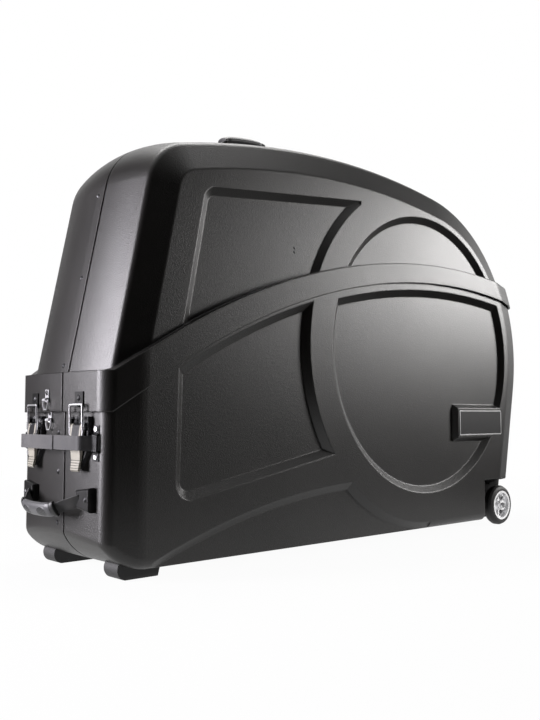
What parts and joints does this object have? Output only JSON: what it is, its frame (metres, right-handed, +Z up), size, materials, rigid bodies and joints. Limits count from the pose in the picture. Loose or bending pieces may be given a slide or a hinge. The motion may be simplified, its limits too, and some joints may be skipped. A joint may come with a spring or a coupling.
{
  "type": "bike travel case",
  "caption": "Hard two-shell bicycle travel case with draw latches, straps, tow and top handles, padlock rings, rear wheels, rubber feet and an inner fork and bracket carrier.",
  "frame": {"origin": "middle of the footprint, on the floor", "axes": "+Z up, +X along the case towards the wheel end, +Y to the far side; the tow end is -X"},
  "size_m": [1.4073, 0.36, 0.9202],
  "materials": {
    "shell": "black moulded ABS sheet with a fine grain",
    "rivet": "domed aluminium rivet",
    "latch_dish": "glossy black moulded dish",
    "latch_lever": "cream thumb tip with a black block above it",
    "wire": "plated wire",
    "bright_steel": "plated steel",
    "anchor": "black moulded strap anchor",
    "webbing": "dark grey woven webbing",
    "grip": "soft grey-black grip",
    "cap": "black moulded end cover",
    "foot_rubber": "black rubber foot",
    "tyre": "black solid tyre",
    "hub": "silver spoked hub",
    "housing": "black moulded wheel housing",
    "side_plate": "blank black plate",
    "pad": "dense foam pad",
    "carrier": "extruded and bent aluminium"
  },
  "bodies": {
    "base": {"base_near_half": "shell", "base_far_half": "shell", "base_rivets": "rivet", "base_screws": "bright_steel", "latch_dish_tow_near": "latch_dish", "latch_dish_tow_far": "latch_dish", "latch_dish_wheel_near": "latch_dish", "latch_dish_wheel_far": "latch_dish", "latch_pins": "bright_steel", "strap_anchor_tow_near": "anchor", "strap_anchor_tow_far": "anchor", "strap_anchor_wheel_near": "anchor", "strap_anchor_wheel_far": "anchor", "strap_tow_near": "webbing", "strap_tow_far": "webbing", "strap_wheel_near": "webbing", "strap_wheel_far": "webbing", "tow_handle_caps": "cap", "base_ring_tab": "bright_steel", "foot_near": "foot_rubber", "foot_far": "foot_rubber", "axle_near": "bright_steel", "axle_far": "bright_steel", "wheel_housing_near": "housing", "wheel_housing_far": "housing", "side_plate": "side_plate", "carrier_rail": "carrier"},
    "lid": {"lid_near_half": "shell", "lid_far_half": "shell", "lid_rivets": "rivet", "latch_keepers": "bright_steel", "top_handle_caps": "cap", "lid_ring_tab": "bright_steel", "lid_backing_plate": "bright_steel"},
    "lever_tow_near": {"latch_lever_tow_near": "latch_lever"},
    "bail_tow_near": {"latch_bail_tow_near": "wire"},
    "lever_tow_far": {"latch_lever_tow_far": "latch_lever"},
    "bail_tow_far": {"latch_bail_tow_far": "wire"},
    "lever_wheel_near": {"latch_lever_wheel_near": "latch_lever"},
    "bail_wheel_near": {"latch_bail_wheel_near": "wire"},
    "lever_wheel_far": {"latch_lever_wheel_far": "latch_lever"},
    "bail_wheel_far": {"latch_bail_wheel_far": "wire"},
    "wheel_near": {"tyre_near": "tyre", "hub_near": "hub"},
    "wheel_far": {"tyre_far": "tyre", "hub_far": "hub"},
    "tow_handle": {"tow_handle_grip": "grip", "tow_handle_webbing": "webbing"},
    "top_handle": {"top_handle_grip": "grip", "top_handle_webbing": "webbing"},
    "lid_ring": {"lid_ring": "wire"},
    "base_ring": {"base_ring": "wire"},
    "fork_mount": {"fork_mount": "carrier", "fork_skewer": "bright_steel"},
    "skewer_lever": {"skewer_lever": "bright_steel"},
    "cradle": {"bracket_cradle": "carrier", "cradle_pad": "pad"}
  },
  "joints": [
    {"name": "lid_lift", "type": "slide", "parent": "base", "child": "lid", "axis": [0, 0, 1], "range_m": [0, 0.75]},
    {"name": "lever_tow_near_turn", "type": "hinge", "parent": "base", "child": "lever_tow_near", "pos_m": [-0.6587, -0.08551, 0.273], "axis": [-0.0567, 0.9984, 0], "range_deg": [0, 120], "deforming": ["strap_tow_near"]},
    {"name": "bail_tow_near_turn", "type": "hinge", "parent": "lever_tow_near", "child": "bail_tow_near", "pos_m": [-0.66269, -0.08574, 0.257], "axis": [-0.0567, 0.9984, 0], "range_deg": [-125, 5]},
    {"name": "lever_tow_far_turn", "type": "hinge", "parent": "base", "child": "lever_tow_far", "pos_m": [-0.6587, 0.08551, 0.273], "axis": [0.0567, 0.9984, 0], "range_deg": [0, 120], "deforming": ["strap_tow_far"]},
    {"name": "bail_tow_far_turn", "type": "hinge", "parent": "lever_tow_far", "child": "bail_tow_far", "pos_m": [-0.66269, 0.08574, 0.257], "axis": [0.0567, 0.9984, 0], "range_deg": [-125, 5]},
    {"name": "lever_wheel_near_turn", "type": "hinge", "parent": "base", "child": "lever_wheel_near", "pos_m": [0.67671, -0.08551, 0.5618], "axis": [-0.0555, -0.9984, -0.0113], "range_deg": [0, 120], "deforming": ["strap_wheel_near"]},
    {"name": "bail_wheel_near_turn", "type": "hinge", "parent": "lever_wheel_near", "child": "bail_wheel_near", "pos_m": [0.68381, -0.08574, 0.54691], "axis": [-0.0555, -0.9984, -0.0113], "range_deg": [-125, 5]},
    {"name": "lever_wheel_far_turn", "type": "hinge", "parent": "base", "child": "lever_wheel_far", "pos_m": [0.67671, 0.08551, 0.5618], "axis": [0.0555, -0.9984, 0.0113], "range_deg": [0, 120], "deforming": ["strap_wheel_far"]},
    {"name": "bail_wheel_far_turn", "type": "hinge", "parent": "lever_wheel_far", "child": "bail_wheel_far", "pos_m": [0.68381, 0.08574, 0.54691], "axis": [0.0555, -0.9984, 0.0113], "range_deg": [-125, 5]},
    {"name": "wheel_near_spin", "type": "hinge", "parent": "base", "child": "wheel_near", "pos_m": [0.56988, -0.157, 0.052], "axis": [0, 1, 0], "continuous": true},
    {"name": "wheel_far_spin", "type": "hinge", "parent": "base", "child": "wheel_far", "pos_m": [0.56988, 0.157, 0.052], "axis": [0, 1, 0], "continuous": true},
    {"name": "tow_handle_swing", "type": "hinge", "parent": "base", "child": "tow_handle", "pos_m": [-0.65651, 0, 0.144], "axis": [0, 1, 0], "range_deg": [0, 70], "deforming": ["tow_handle_webbing"]},
    {"name": "top_handle_swing", "type": "hinge", "parent": "lid", "child": "top_handle", "pos_m": [-0.20212, 0, 0.88546], "axis": [0.9952, 0, 0.0975], "range_deg": [-40, 40], "deforming": ["top_handle_webbing"]},
    {"name": "lid_ring_swing", "type": "hinge", "parent": "lid", "child": "lid_ring", "pos_m": [-0.66293, 0.03425, 0.322], "axis": [0.0227, 0.9997, 0], "range_deg": [0, 90]},
    {"name": "base_ring_swing", "type": "hinge", "parent": "base", "child": "base_ring", "pos_m": [-0.65593, 0.0341, 0.284], "axis": [0.0227, 0.9997, 0], "range_deg": [0, 90]},
    {"name": "fork_slide", "type": "slide", "parent": "base", "child": "fork_mount", "axis": [1, 0, 0], "range_m": [-0.05, 0.28]},
    {"name": "skewer_lever_turn", "type": "hinge", "parent": "fork_mount", "child": "skewer_lever", "pos_m": [-0.36712, -0.075, 0.1195], "axis": [-1, 0, 0], "range_deg": [0, 100]},
    {"name": "cradle_slide", "type": "slide", "parent": "base", "child": "cradle", "axis": [1, 0, 0], "range_m": [-0.25, 0.3]}
  ],
  "couplings": [
    {"joint": "bail_tow_near_turn", "follows": "lever_tow_near_turn", "ratio": -1},
    {"joint": "bail_tow_far_turn", "follows": "lever_tow_far_turn", "ratio": -1},
    {"joint": "bail_wheel_near_turn", "follows": "lever_wheel_near_turn", "ratio": -1},
    {"joint": "bail_wheel_far_turn", "follows": "lever_wheel_far_turn", "ratio": -1}
  ]
}
